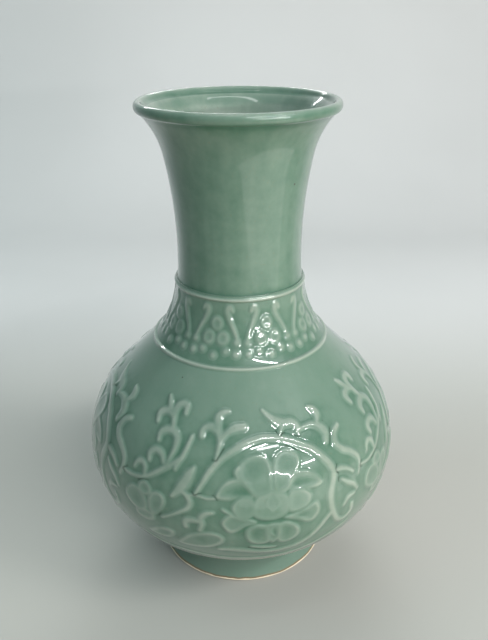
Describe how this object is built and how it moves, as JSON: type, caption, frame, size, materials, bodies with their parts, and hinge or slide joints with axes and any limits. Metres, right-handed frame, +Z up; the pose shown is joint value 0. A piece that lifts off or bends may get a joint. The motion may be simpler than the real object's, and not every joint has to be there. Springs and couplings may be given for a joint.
{
  "type": "vase",
  "caption": "Celadon porcelain vase with round belly, tall flared neck, peony scroll relief on the belly and a palmette frieze on the collar",
  "frame": {"origin": "centre of the standing plane, on the vase's axis", "axes": "+Z up along the axis, -Y towards the front panel, +X to its right"},
  "size_m": [0.1702, 0.1702, 0.255],
  "materials": {
    "celadon_glaze": "gloss",
    "relief_glaze": "gloss",
    "foot_glaze": "gloss"
  },
  "bodies": {
    "root": {"collar": "celadon_glaze", "collar_spray_1": "relief_glaze", "collar_spray_2": "relief_glaze", "collar_spray_3": "relief_glaze", "collar_spray_4": "relief_glaze", "collar_spray_5": "relief_glaze", "collar_spray_6": "relief_glaze", "collar_spray_7": "relief_glaze", "collar_spray_8": "relief_glaze", "collar_spray_9": "relief_glaze", "foot_ring": "foot_glaze", "leaf_column_1": "relief_glaze", "leaf_column_2": "relief_glaze", "leaf_column_3": "relief_glaze", "leaf_column_4": "relief_glaze", "leaf_crest_1": "relief_glaze", "leaf_crest_2": "relief_glaze", "leaf_crest_3": "relief_glaze", "leaf_crest_4": "relief_glaze", "leaf_curl_1": "relief_glaze", "leaf_curl_2": "relief_glaze", "leaf_curl_3": "relief_glaze", "leaf_curl_4": "relief_glaze", "leaf_fall_1": "relief_glaze", "leaf_fall_2": "relief_glaze", "leaf_fall_3": "relief_glaze", "leaf_fall_4": "relief_glaze", "leaf_fork_1": "relief_glaze", "leaf_fork_2": "relief_glaze", "leaf_fork_3": "relief_glaze", "leaf_fork_4": "relief_glaze", "leaf_low_1": "relief_glaze", "leaf_low_2": "relief_glaze", "leaf_low_3": "relief_glaze", "leaf_low_4": "relief_glaze", "lower_body": "celadon_glaze", "neck": "celadon_glaze", "neck_ridge": "relief_glaze", "peony_1": "relief_glaze", "peony_2": "relief_glaze", "peony_3": "relief_glaze", "peony_4": "relief_glaze", "peony_bud_1": "relief_glaze", "peony_bud_2": "relief_glaze", "peony_bud_3": "relief_glaze", "peony_bud_4": "relief_glaze", "shoulder_ridge": "relief_glaze", "upper_body": "celadon_glaze", "vine_1": "relief_glaze", "vine_2": "relief_glaze", "vine_3": "relief_glaze", "vine_4": "relief_glaze"}
  },
  "joints": []
}
